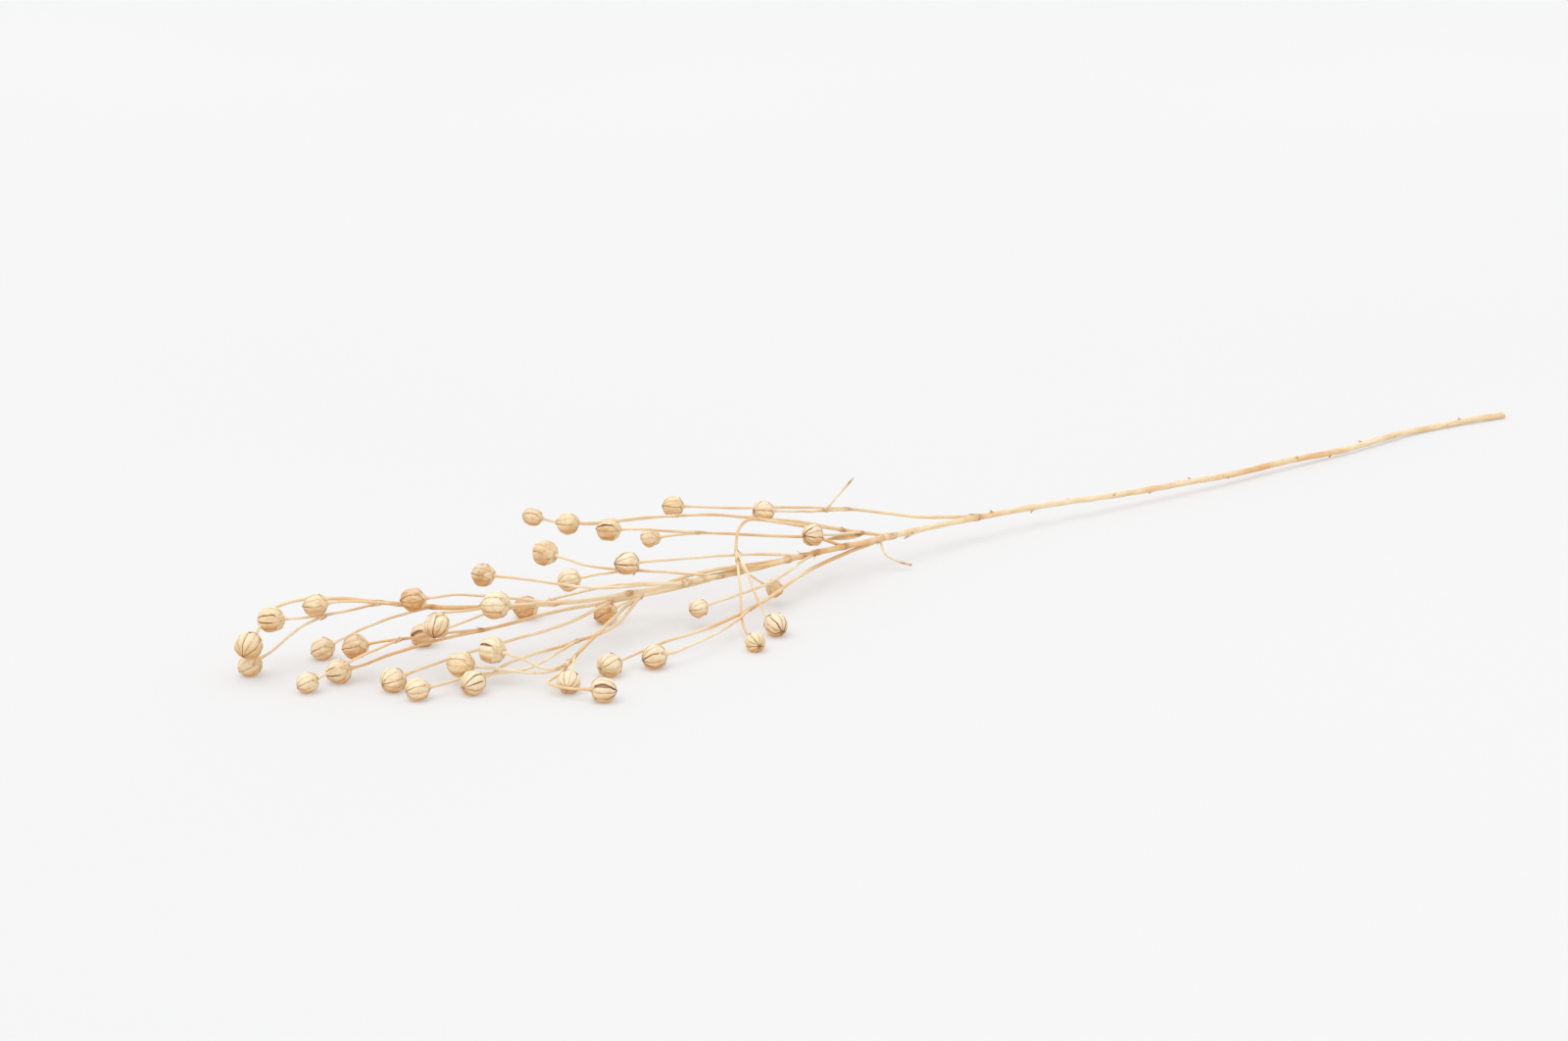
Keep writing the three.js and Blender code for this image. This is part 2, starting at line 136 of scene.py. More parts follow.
# A shoot leaves its carrier at a share of the carrier's length, bends through the
# points given and ends in a boll: its middle and its diameter. A boll with height 0
# lies on the floor.
Shoot = namedtuple("Shoot", "carrier share bends boll")
SHOOTS = {
    "stalk": Shoot(
        None, 0,
        [(281, 24, 1.2), (237, 27, 1.6), (197, 22, 2.2), (151, 19, 3), (107, 16, 4.2), (61, 16, 6),
         (16, 16, 8), (-28, 11, 10), (-70, 5, 12), (-109, -1, 13.5), (-146, -4, 15), (-179, -4, 17),
         (-208, 3, 19), (-229, 16, 20.5), (-243, 29, 21), (-255, 35, 21), (-264, 35, 19)],
        (-275, 27, 12, 8.5),
    ),
    # Along the top, towards the back
    "ridge": Shoot(
        "stalk", 0.486,
        [(-18, 18, 12), (-33, 21, 15.5), (-49, 23, 19), (-71, 27, 22.5), (-94, 30, 25.5)],
        (-112, 35, 28, 7.5),
    ),
    "ridge_near": Shoot("ridge", 0.46, [(-61, 18, 21.5), (-76, 16, 25)], (-86.5, 17, 26.5, 7.5)),
    "back": Shoot(
        "stalk", 0.56,
        [(-53, 15, 14), (-70, 19, 19), (-89, 23, 23), (-103, 27, 25.5), (-127, 29, 28),
         (-144, 32, 28.5)],
        (-152, 38, 28, 7.5),
    ),
    "back_far": Shoot(
        "back", 0.69,
        [(-130, 37, 25.5), (-141, 43, 24.5), (-151, 46, 26)],
        (-158.5, 51, 28, 6.5),
    ),
    "back_near": Shoot("back", 0.1, [(-64, 4, 17.5)], (-76, 2, 20, 7.5)),
    "crest": Shoot(
        "stalk", 0.6,
        [(-69, 9, 15.5), (-83, 9, 19), (-102, 11, 22.5), (-123, 14, 26.5), (-136, 18, 28.5)],
        (-144.5, 23.5, 28.5, 8),
    ),
    "crest_side": Shoot("crest", 0.67, [(-122, 16, 24.5)], (-129, 22, 23, 6.5)),
    # The upper side of the head
    "upper": Shoot(
        "stalk", 0.635,
        [(-96, 2, 17), (-120, -1, 21), (-141, -4, 24.5)],
        (-153, -3, 25.5, 8),
    ),
    "upper_back": Shoot(
        "stalk", 0.7,
        [(-131, 2, 16.5), (-146, 5, 19.5), (-161, 6, 23.5), (-167, 11, 25.5)],
        (-171, 20, 26, 8.5),
    ),
    "upper_front": Shoot("upper_back", 0.5, [(-161, -1, 23)], (-172.5, 1.5, 22, 7.5)),
    "lifted": Shoot(
        "stalk", 0.725,
        [(-152, -7, 18.5), (-170, -8, 22), (-184, -5, 25), (-193, 0, 27)],
        (-200, 9, 27, 7.5),
    ),
    "cheek": Shoot(
        "stalk", 0.765,
        [(-172, -11, 19), (-189, -12, 21.5), (-198, -12, 22.5)],
        (-205, -8, 22.5, 9),
    ),
    "shoulder": Shoot(
        "stalk", 0.815,
        [(-196, -1, 21), (-211, 3, 24), (-220, 4, 24.5)],
        (-227, 6, 24.5, 8),
    ),
    "facing": Shoot("stalk", 0.85, [(-215, 0, 20), (-220, 0, 20.5)], (-222.5, -1.5, 17, 8)),
    "tip_top": Shoot("stalk", 0.905, [(-237, 18, 22), (-246, 21, 23)], (-253, 23.5, 22.5, 7.5)),
    "tip_side": Shoot("stalk", 0.915, [(-244, 23, 18.5), (-255, 27, 17.5)], (-264.5, 33, 17, 8.5)),
    "tip_low": Shoot("tip_side", 0.57, [(-257, 28, 14), (-266, 29, 8)], (-273, 32, 0, 7.5)),
    # Low in the middle of the head
    "low": Shoot(
        "stalk", 0.686,
        [(-129, -1, 12.5), (-151, 1, 11.5), (-172, 3, 11.5), (-195, 1, 11.5), (-217, 1, 11),
         (-236, 3, 9), (-245, 6, 6)],
        (-252, 10.5, 0, 8),
    ),
    "low_over": Shoot("low", 0.68, [(-223, 2, 13), (-237, 6, 12.5)], (-246, 10.5, 11, 8)),
    "low_end": Shoot("low_over", 0.72, [(-248, 4, 9.5), (-259, 7, 5)], (-264, 8, 0, 7)),
    "low_front": Shoot(
        "low", 0.34,
        [(-177, -5, 10), (-207, -5, 7.5), (-231, -5, 5)],
        (-241, -6, 0, 8),
    ),
    # The front branch, whose last flower stalk is folded back like a hook
    "hook": Shoot(
        "stalk", 0.647,
        [(-118, 4, 14), (-144, 1, 12), (-164, -10, 9), (-180, -20, 6.5), (-194, -31, 4.5),
         (-201, -35, 3.5), (-198, -42, 3.5), (-194, -46, 3.7)],
        (-189.5, -50, 0, 8),
    ),
    "hook_inner": Shoot("hook", 0.75, [(-190, -31, 5.5)], (-195, -37.5, 0, 7.5)),
    "front_long": Shoot(
        "hook", 0.42,
        [(-164, -12, 8), (-182, -14, 6.5), (-202, -15, 5), (-214, -20, 4.2)],
        (-221, -22, 0, 8),
    ),
    "front_end": Shoot(
        "front_long", 0.48,
        [(-201, -22, 4.6), (-217, -16, 3.6), (-230, -18, 3.7)],
        (-238, -17, 0, 7.5),
    ),
    "front_over": Shoot("hook", 0.81, [(-202, -28, 5), (-213, -19, 6)], (-220, -12, 6.5, 8.5)),
    "front_high": Shoot(
        "hook", 0.77,
        [(-199, -31, 6.5), (-205, -26, 9.5), (-208, -22, 10.7)],
        (-211, -16.5, 11, 8.5),
    ),
    "outer": Shoot(
        "stalk", 0.544,
        [(-58, 7, 9), (-79, 0, 8), (-110, -16, 6.5), (-135, -24, 5.5), (-148, -25, 4.6),
         (-162, -28, 4.4)],
        (-177, -32, 0, 8),
    ),
    "outer_front": Shoot("outer", 0.6, [(-136, -30, 5.2), (-152, -35, 4.6)], (-161, -33.5, 0, 8)),
    "outer_inner": Shoot(
        "stalk", 0.624,
        [(-97, -6, 10), (-113, -9, 8.6), (-120, -9, 7.8)],
        (-129.5, -9.5, 7, 6.5),
    ),
    # The branch that has snapped over and hangs down in front
    "droop": Shoot(
        "back", 0.16,
        [(-72, 11, 20), (-88, 11, 25), (-97, 10, 27), (-104, 5, 26.5), (-107, 2, 21.5),
         (-112, -7, 16.5), (-115, -13, 11.5), (-119, -20, 6), (-123, -29, 3.6)],
        (-125, -38, 0, 6.5),
    ),
    "droop_side": Shoot(
        "droop", 0.59,
        [(-111, -11, 17), (-112, -17, 12), (-112, -23, 6)],
        (-111.5, -29.5, 0, 8),
    ),
    "droop_inner": Shoot("droop", 0.63, [(-109, -8, 15.5), (-102, -6, 10)], (-95.5, -4, 6, 6)),
    # The underside and the far side, on which the head rests
    "under": Shoot("stalk", 0.715, [(-136, 8, 10)], (-153, 12, 0, 8)),
    "far_low": Shoot("stalk", 0.726, [(-146, 15, 11.5), (-162, 26, 7)], (-173, 31, 0, 8)),
    "far_middle": Shoot("stalk", 0.815, [(-196, 10, 13), (-207, 19, 7.5)], (-214, 26, 0, 8)),
    "far_end": Shoot("stalk", 0.885, [(-232, 24, 12), (-240, 30, 7)], (-247, 33, 0, 7.5)),
    # Bare ends: a broken flower stalk that stands up at the back, and a stub in front
    "stray_twig": Shoot("ridge_near", 0.36, [(-55, 18.3, 25.8), (-46.5, 20.2, 30.8)], None),
    "front_stub": Shoot("stalk", 0.57, [(-43.2, 5.2, 6.6), (-40.3, 3, 3.8), (-34.5, 1, 1.6)], None),
}

# Leaf stumps wind up the lower stalk
STUMP_FIRST = 22 * MM
STUMP_SPACING = 19 * MM
STUMP_COUNT = 14
STUMP_TURN = math.radians(137.5)
STUMP_LENGTH = 2.6 * MM
STUMP_LIFT = 0.75 * MM
STUMP_WIDTH = 1.1 * MM
# The middle and the radius of each ring of a stump, with the stump one long
STUMP_RINGS = [
    ((0, 0, 0), 0.5), ((0, 0, 0.3), 0.48), ((0.02, 0, 0.5), 0.42), ((0.06, 0, 0.68), 0.34),
    ((0.13, 0, 0.82), 0.27), ((0.22, 0, 0.93), 0.2), ((0.3, 0, 1.0), 0.1),
]

# A bract clings under each fork: its least and greatest length, width and lean, how far
# behind the fork it sits, and in what share of the carrier's radius
BRACT_LENGTHS = (2.0, 3.6)
BRACT_WIDTHS = (0.9, 1.3)
BRACT_LEANS = (0.15, 0.5)
BRACT_BACK = 0.6 * MM
BRACT_SEAT = 0.7
# Over this length, a shoot shows which way it leaves its carrier
LEAVING_REACH = 6 * MM

# Dried leaves that still cling at a fork: the shoot, the share of its length, the
# point of the leaf
LEAVES = [("back", 0.08, (-62, 17, 11)), ("stalk", 0.66, (-124, -8, 17))]
LEAF_WIDTH = 2.6 * MM
KEEL = 0.1

# How each boll has opened, where it isn't closed, and how it has coloured
OPENED = {
    "hook": "gaping", "far_middle": "gaping", "front_high": "split", "crest": "split",
    "front_long": "cracked", "low": "cracked", "tip_side": "cracked",
}
COLOURED = {
    "cream": ["cheek", "front_long", "front_end", "low_front", "outer", "hook_inner",
              "low_end", "crest_side", "front_high", "outer_inner", "far_end", "upper_front",
              "tip_low"],
    "lined": ["outer_front", "facing", "hook", "droop_side", "back_near", "low", "upper"],
    "stained": ["droop", "ridge_near"],
    "mottled": ["crest", "far_middle", "low_over", "upper_back", "lifted"],
    "brown": ["shoulder", "under", "far_low"],
}

# The looks of the shells: a light and a dark tint, how brown and how wide the seams are,
# how blotched the shell is, and how wide the brown on its beak
Shell = namedtuple("Shell", "light dark lines seam_width blotches tip_width")
SHELLS = {
    "cream": Shell("f8ebcf", "ecd4a6", 0.6, 0.046, 0.08, 0.22),
    "lined": Shell("f8e9cf", "ebd0a0", 1.0, 0.074, 0.12, 0.22),
    "tan": Shell("f6e3c1", "e8c792", 0.75, 0.05, 0.2, 0.22),
    "mottled": Shell("f1dbb5", "dfb780", 0.85, 0.052, 0.42, 0.22),
    "stained": Shell("f8e8cb", "ebcb95", 0.7, 0.05, 0.15, 0.55),
    "brown": Shell("ebc798", "d19a60", 0.85, 0.052, 0.55, 0.22),
}

# The camera looks at the middle of the frame, from above the floor and from the left
LOOKED_AT = Vector((-0.0415, 0.07235, 0))
CAMERA_DISTANCE = 1.16
CAMERA_RISE = math.radians(18)
CAMERA_TURN = math.radians(33.27)
CAMERA_PLACE = LOOKED_AT + CAMERA_DISTANCE * Vector((
    -math.cos(CAMERA_RISE) * math.sin(CAMERA_TURN),
    -math.cos(CAMERA_RISE) * math.cos(CAMERA_TURN),
    math.sin(CAMERA_RISE)))
LENS = 72
SENSOR = 36
ROOM_BRIGHTNESS = 0.98
TOP_LIGHT = 0.93
TOP_LIGHT_SPREAD = 60
TOP_LIGHT_WAY = Vector((0.3, -0.05, -1))
FLOOR_SIZE = 12
FLOOR_GLOW = 0.3


class Value:
    """A socket of a material's nodes, on which Python's operators add Math nodes."""

    def __init__(self, finish, socket):
        self.finish = finish
        self.socket = socket

    def maths(self, operation, *others):
        return self.finish.node(
            "ShaderNodeMath", {"operation": operation}, dict(enumerate((self, *others))))

    def __add__(self, other):
        return self.maths("ADD", other)

    __radd__ = __add__

    def __mul__(self, other):
        return self.maths("MULTIPLY", other)

    __rmul__ = __mul__

    def __sub__(self, other):
        return self.maths("SUBTRACT", other)

    def __rsub__(self, other):
        return self * -1 + other


class Finish:
    """A material, and the few calls that its nodes are made with."""

    def __init__(self, name):
        self.material = bpy.data.materials.new(name)
        self.material.use_nodes = True
        self.nodes = self.material.node_tree.nodes
        self.links = self.material.node_tree.links
        self.surface = self.nodes["Principled BSDF"]

    def node(self, kind, settings=None, values=None, output=0):
        made = self.nodes.new(kind)
        for name, setting in (settings or {}).items():
            setattr(made, name, setting)
        for socket, value in (values or {}).items():
            self.feed(made.inputs[socket], value)
        return Value(self, made.outputs[output])

    def feed(self, socket, value):
        if isinstance(value, Value):
            self.links.new(value.socket, socket)
        else:
            socket.default_value = value

    def shade(self, **values):
        """Sets the surface's own sockets, by name with spaces as underscores."""
        for name, value in values.items():
            self.feed(self.surface.inputs[name.replace("_", " ")], value)

    def place(self):
        return self.node("ShaderNodeTexCoord", output="Object")

    def attribute(self, name, output="Fac"):
        return self.node("ShaderNodeAttribute", {"attribute_name": name}, output=output)

    def parts(self, vector):
        apart = self.node("ShaderNodeSeparateXYZ", values={0: vector}).socket.node
        return [Value(self, socket) for socket in apart.outputs]

    def vector(self, x, y, z):
        return self.node("ShaderNodeCombineXYZ", values={0: x, 1: y, 2: z})

    def stretched(self, vector, scale):
        return self.node(
            "ShaderNodeVectorMath", {"operation": "MULTIPLY"}, {0: vector, 1: scale})

    def moved(self, vector, step):
        return self.node("ShaderNodeVectorMath", {"operation": "ADD"}, {0: vector, 1: step})

    def noise(self, where, scale, detail=2.0, roughness=0.5):
        return self.node(
            "ShaderNodeTexNoise",
            values={"Vector": where, "Scale": scale, "Detail": detail, "Roughness": roughness})

    def between(self, value, low, high):
        """0 below low and 1 above high, with a soft step between them."""
        return self.node(
            "ShaderNodeMapRange", {"interpolation_type": "SMOOTHSTEP"},
            {"Value": value, "From Min": low, "From Max": high, "To Min": 0.0, "To Max": 1.0})

    def blend(self, share, first, second):
        return self.node(
            "ShaderNodeMix", {"data_type": "RGBA"}, {0: share, 6: first, 7: second}, output=2)

    def relief(self, height, depth, strength=1.0):
        return self.node(
            "ShaderNodeBump", values={"Height": height, "Distance": depth, "Strength": strength})


def tint(code):
    """A colour written as six hex digits, in the shader's own numbers."""
    parts = [int(code[i:i + 2], 16) / 255 for i in (0, 2, 4)]
    linear = [((part + 0.055) / 1.055) ** 2.4 for part in parts]
    return (*linear, 1.0)


def straw_finish(name, light, weathering):
    """Dry bast: lengthwise fibres, tan patches, and brown scars at the forks."""
    finish = Finish(name)
    place = finish.place()
    run = finish.attribute("run")
    fork = finish.attribute("fork")
    around = finish.parts(finish.node("ShaderNodeUVMap", {"uv_map": "UVMap"}))[1]
    turn = around * FULL_TURN
    circle = finish.vector(run * 150, turn.maths("COSINE") * 2, turn.maths("SINE") * 2)
    own = finish.moved(circle, finish.stretched(place, (30, 30, 30)))
    fibres = finish.noise(own, 1.6, 4, 0.6)
    fine = finish.noise(finish.stretched(own, (0.5, 3, 3)), 2.2, 3, 0.6)
    patches = finish.noise(place, 38, 3, 0.6)
    wide_patches = finish.noise(place, 11, 2)

    colour = finish.blend(finish.between(fibres, 0.36, 0.62), tint(light), tint("efd3a4"))
    tan = finish.between(patches * 0.65 + wide_patches * 0.35, 0.42, 0.62)
    colour = finish.blend(tan * weathering, colour, tint("e2b074"))
    streaks = finish.between(fine, 0.58, 0.72)
    colour = finish.blend(streaks * (weathering * 0.8), colour, tint("d09555"))
    scar = fork * finish.between(finish.noise(place, 420, 3, 0.6), 0.3, 0.62)
    colour = finish.blend(scar * 0.8, colour, tint("bb8149"))
    specks = finish.node(
        "ShaderNodeTexVoronoi", values={"Vector": finish.stretched(own, (12, 1, 1)), "Scale": 0.4})
    speck = 1 - finish.between(specks, 0.06, 0.2)
    speck = speck * finish.between(finish.noise(place, 90, 2), 0.5, 0.58)
    colour = finish.blend(speck * 0.8, colour, tint("8a5a30"))
    height = fibres * 0.5 + fine * 0.35 + patches * 0.4 - scar * 0.4
    finish.shade(
        Base_Color=colour,
        Roughness=finish.between(fine, 0.2, 0.8) * 0.25 + 0.5,
        Normal=finish.relief(height, 0.25 * MM, 0.7),
        Specular_IOR_Level=0.35)
    return finish.material


def pith_finish():
    """The soft heart of the stalk, open at the cut."""
    finish = Finish("pith")
    cells = finish.node("ShaderNodeTexVoronoi", values={"Vector": finish.place(), "Scale": 4200.0})
    colour = finish.blend(finish.between(cells, 0.1, 0.6), tint("a67c4b"), tint("efdcb4"))
    finish.shade(
        Base_Color=colour, Roughness=0.9, Normal=finish.relief(cells, 0.1 * MM),
        Specular_IOR_Level=0.2)
    return finish.material


def boll_finish(name, shell):
    """A papery shell, paler on its upward sides as painted light and darker orange underneath as
    painted shade. A thin brown seam runs down each of its ten grooves into the beak, broken here
    and there."""
    finish = Finish(name)
    own = finish.attribute("own", "Vector")
    slit = finish.attribute("slit")
    place = finish.place()
    x, y, z = finish.parts(own)
    wobble = finish.noise(finish.moved(own, finish.stretched(place, (40, 40, 40))), 3.5, 2)
    out = (x * x + y * y).maths("SQRT")
    # A groove lies at each whole number of turn, and at an even one it is a true seam
    turn = y.maths("ARCTAN2", x) * (VALVES / FULL_TURN) + wobble * 0.09 - 0.045
    off_seam = (turn - turn.maths("ROUND")).maths("ABSOLUTE") * out * (FULL_TURN / VALVES)
    true_seam = finish.between((turn * math.pi).maths("COSINE") * 0.5 + 0.5, 0.2, 0.8)
    broken = finish.noise(finish.moved(own, finish.stretched(place, (90, 90, 90))), 2.6, 3)

    seam = 1 - finish.between(off_seam, 0.25 * shell.seam_width, shell.seam_width)
    seam = seam * (true_seam * 0.55 + 0.45) * finish.between(z, -0.8, 0)
    near_tip = finish.between(z, 0.2, 0.85)
    seam = seam * finish.between(broken + near_tip * 0.2, 0.37, 0.53)
    shadow = 1 - finish.between(off_seam, 0.0, 0.16)

    side = finish.vector(
        turn * 2.2, z * 1.3, finish.parts(finish.stretched(place, (25, 25, 25)))[0])
    veins = finish.noise(side, 3.4, 4, 0.62)
    fine_veins = finish.noise(finish.stretched(side, (3, 0.7, 1)), 5.0, 2)
    bloom = finish.noise(place, 210, 3, 0.55)
    large = finish.noise(place, 75, 2)
    normal = finish.node("ShaderNodeNewGeometry", output="Normal")
    upward = finish.parts(normal)[2]
    # Painted shade: the shell turns darker and more orange where it faces down, broken up by random
    # patches
    under = finish.between(large * 0.8 - upward, 0.1, 1.15)
    # Painted light: the shell turns paler where it faces up, broken up by random patches
    painted_top_light = finish.between(upward + large * 0.8, 0.7, 1.4)

    light = tint(shell.light)
    dark = tint(shell.dark)
    colour = finish.blend(finish.between(veins, 0.34, 0.66), light, dark)
    colour = finish.blend(finish.between(bloom, 0.45, 0.68) * 0.4, colour, dark)
    # Painted light on the upward sides of the shell
    colour = finish.blend(painted_top_light * 0.45, colour, tint("f8efdc"))
    # Painted orange shade on the undersides of the shell
    colour = finish.blend(under * 0.72, colour, tint("de9a46"))
    colour = finish.blend(shadow * 0.28, colour, tint("cf9a5c"))
    colour = finish.blend(finish.between(fine_veins, 0.55, 0.68) * 0.4, colour, tint("b98a55"))
    stain = finish.between(bloom * 0.5 + large * 0.5, 0.5 - shell.blotches * 0.12, 0.66)
    colour = finish.blend(stain * shell.blotches, colour, tint("b07a44"))
    specks = finish.node("ShaderNodeTexVoronoi", values={"Vector": place, "Scale": 420.0})
    speck = (1 - finish.between(specks, 0.08, 0.2)) * finish.between(large, 0.5, 0.62)
    colour = finish.blend(speck * 0.6, colour, tint("8f5f36"))
    seam_tint = finish.blend(near_tip, tint("a7672c"), tint("79421a"))
    colour = finish.blend(seam * shell.lines, colour, seam_tint)
    width = shell.tip_width
    tip = 1 - finish.between(out + broken * width * 0.45, width * 0.35, width)
    tip = tip * finish.between(z, 0.6, 0.9)
    colour = finish.blend(tip * (0.35 + 0.45 * shell.lines), colour, tint("83532d"))
    foot = finish.between(z * -1, 0.86, 0.98)
    colour = finish.blend(foot * 0.6, colour, tint("b07c45"))
    rim = finish.between(slit, 0.08, 0.45)
    colour = finish.blend(rim, colour, tint("85502b"))
    lining = finish.between(slit, 0.55, 0.95)
    colour = finish.blend(lining, colour, tint("bf9280"))
    height = veins * 0.45 + fine_veins * 0.2 + bloom * 0.35 - seam * 0.6
    finish.shade(
        Base_Color=colour,
        Roughness=finish.between(veins, 0.2, 0.8) * 0.2 + 0.48,
        Normal=finish.relief(height, 0.22 * MM, 0.6),
        Specular_IOR_Level=0.4)
    return finish.material


def blade_finish(name, light, dark, tip_tint):
    """A dried sepal, bract or leaf: veins from foot to point, and a thin pale edge."""
    finish = Finish(name)
    across, along, _ = finish.parts(finish.attribute("blade", "Vector"))
    place = finish.place()
    shifted = finish.moved(
        finish.vector(across * 9, along * 1.6, 0.0), finish.stretched(place, (60, 60, 60)))
    veins = finish.noise(shifted, 2.0, 3, 0.6)
    edge = finish.between(across.maths("ABSOLUTE"), 0.28, 0.5)
    colour = finish.blend(finish.between(veins, 0.36, 0.6), tint(light), tint(dark))
    colour = finish.blend(edge * 0.5, colour, tint("f3e3c2"))
    tip = finish.between(along, 0.32, 0.5)
    foot = 1 - finish.between(along, -0.5, -0.2)
    colour = finish.blend(tip * 0.6, colour, tint(tip_tint))
    colour = finish.blend(foot * 0.5, colour, tint(tip_tint))
    finish.shade(
        Base_Color=colour, Roughness=finish.between(veins, 0.2, 0.8) * 0.2 + 0.6,
        Normal=finish.relief(veins, 0.15 * MM, 0.6), Specular_IOR_Level=0.3)
    return finish.material


def floor_finish():
    finish = Finish("studio_paper")
    cloud = finish.noise(finish.place(), 1.3, 2)
    grain = finish.noise(finish.place(), 700, 2)
    finish.shade(
        Base_Color=finish.blend(finish.between(cloud, 0.3, 0.7), tint("b9b9ba"), tint("bbbbbb")),
        Roughness=0.85, Normal=finish.relief(grain, 0.02 * MM, 0.2), Specular_IOR_Level=0.15,
        Emission_Color=tint("ffffff"), Emission_Strength=FLOOR_GLOW)
    return finish.material


# The middle lines of the shoots

class Line:
    """A smooth curve through bends. A shoot's is the same one as in the CAD model."""

    DIVISIONS = 600

    def __init__(self, bends):
        self.bends = [Vector(bend) for bend in bends]
        self.run = [0.0]
        before = self.bends[0]
        for step in range(1, self.DIVISIONS + 1):
            here = self.at_share(step / self.DIVISIONS)
            self.run.append(self.run[-1] + (here - before).length)
            before = here
        self.length = self.run[-1]

    def at_share(self, share):
        """The place at a share of the stretches from bend to bend."""
        stretches = len(self.bends) - 1
        index = min(int(share * stretches), stretches - 1)
        part = share * stretches - index
        start = self.bends[index]
        end = self.bends[index + 1]
        before = self.bends[index - 1] if index else 2 * start - end
        after = self.bends[index + 2] if index + 2 <= stretches else 2 * end - start
        leaving = (end - before) / 2
        arriving = (after - start) / 2
        squared = 3 * (end - start) - 2 * leaving - arriving
        cubed = 2 * (start - end) + leaving + arriving
        return start + leaving * part + squared * part ** 2 + cubed * part ** 3

    def share_at(self, distance):
        """The share of the stretches at a distance along the curve."""
        index = bisect.bisect_right(self.run, distance) - 1
        index = min(max(index, 0), self.DIVISIONS - 1)
        low = self.run[index]
        high = self.run[index + 1]
        return (index + (distance - low) / (high - low)) / self.DIVISIONS

    def at(self, distance):
        return self.at_share(self.share_at(distance))

    def heading(self, distance):
        step = 0.2 * MM
        before = self.at(max(distance - step, 0))
        after = self.at(min(distance + step, self.length))
        return (after - before).normalized()


class GrownShoot:
    """A shoot in its place: its line, its thickness, its forks and its boll."""

    def __init__(self, name, shoot, carrier):
        self.name = name
        self.carried = carrier is not None
        self.forks = []
        self.boll = None
        bends = [Vector(bend) * MM for bend in shoot.bends]
        if carrier:
            fork = shoot.share * carrier.line.length
            carrier.forks.append(fork)
            bends.insert(0, carrier.line.at(fork))
        if shoot.boll:
            radius = shoot.boll[3] / 2 * MM
            middle = Vector(shoot.boll[:3]) * MM
            if middle.z == 0:
                middle.z = radius - SETTLE
            axis = (middle - bends[-1]).normalized()
            bends.append(middle - axis * NECK_REACH * radius)
            self.boll = (middle, axis, radius)
        self.line = Line(bends)
        if self.carried:
            self.root = FLOWER_STALK_RADIUS + ROOT_THICKENING * self.line.length
            self.power = 1
        else:
            self.root = CUT_END_RADIUS
            self.power = STALK_TAPER_POWER

    def radius(self, distance):
        share = self.line.share_at(distance)
        radius = self.root + (FLOWER_STALK_RADIUS - self.root) * share ** self.power
        if self.carried:
            radius *= 1 + COLLAR * math.exp(-distance / COLLAR_REACH)
        for fork in self.forks:
            radius *= 1 + KNOT * math.exp(-((distance - fork) / KNOT_REACH) ** 2)
        if self.boll:
            radius *= 1 + RECEPTACLE * math.exp((distance - self.line.length) / RECEPTACLE_REACH)
        return radius

    def fork_mark(self, distance):
        """1 at a fork and at a broken end, and fading away from it."""
        forks = self.forks + ([0.0] if self.carried else [])
        nearest = min([abs(distance - fork) for fork in forks], default=1.0)
        if self.boll is None:
            nearest = min(nearest, max(0, self.line.length - distance - BROWN_END))
        return math.exp(-(nearest / FORK_MARK_REACH) ** 2)


def grow_all():
    grown = {}
    for name, shoot in SHOOTS.items():
        grown[name] = GrownShoot(name, shoot, grown.get(shoot.carrier))
    return grown


# Small calls that shape a mesh in edit mode

def clear_selection():
    if bpy.context.mode != "OBJECT":
        bpy.ops.object.mode_set(mode="OBJECT")
    bpy.ops.object.select_all(action="DESELECT")


def work_on(piece):
    clear_selection()
    piece.select_set(True)
    bpy.context.view_layer.objects.active = piece


def select_points(piece, chosen):
    """Selects, in edit mode, the points whose place meets a test."""
    bpy.ops.object.mode_set(mode="OBJECT")
    mesh = piece.data
    for edge in mesh.edges:
        edge.select = False
    for face in mesh.polygons:
        face.select = False
    for point in mesh.vertices:
        point.select = chosen(point.co)
    bpy.ops.object.mode_set(mode="EDIT")
    bpy.ops.mesh.select_mode(type="VERT")


def apply_all(piece):
    work_on(piece)
    for modifier in list(piece.modifiers):
        bpy.ops.object.modifier_apply(modifier=modifier.name)


def join(pieces, name):
    work_on(pieces[0])
    for piece in pieces:
        piece.select_set(True)
    if len(pieces) > 1:
        bpy.ops.object.join()
    pieces[0].name = name
    pieces[0].data.name = name
    return pieces[0]


def copy_of(master, name, place):
    """A copy with its own mesh, set in its place."""
    piece = master.copy()
    piece.data = master.data.copy()
    piece.name = name
    piece.data.name = name
    piece.data.transform(place)
    bpy.context.scene.collection.objects.link(piece)
    return piece


def hand_over(piece):
    """Sets what lies lowest flat on the floor, tells the frame which body the piece is on, and
    hides the CAD stem that it stands for."""
    for point in piece.data.vertices:
        point.co.z = max(point.co.z, 0)
    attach(piece, BODY)
    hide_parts(CAD_STEM)


def write_field(mesh, name, kind, values):
    key = "vector" if kind == "FLOAT_VECTOR" else "value"
    field = mesh.attributes.new(name, kind, "POINT")
    field.data.foreach_set(key, values)


# The stalk, the branches and the flower stalks

def outline(name, sides):
    """The cut outline of a stalk, one metre in radius, with shallow flutes."""
    bpy.ops.curve.primitive_nurbs_circle_add(radius=1)
    circle = bpy.context.object
    circle.name = name
    circle.data.dimensions = "2D"
    circle.data.splines.clear()
    fluted = circle.data.splines.new("POLY")
    fluted.points.add(sides - 1)
    fluted.use_cyclic_u = True
    for i, point in enumerate(fluted.points):
        angle = FULL_TURN * i / sides
        reach = FLUTE if i % 2 else RIDGE
        point.co = (reach * math.cos(angle), reach * math.sin(angle), 0, 1)
    return circle


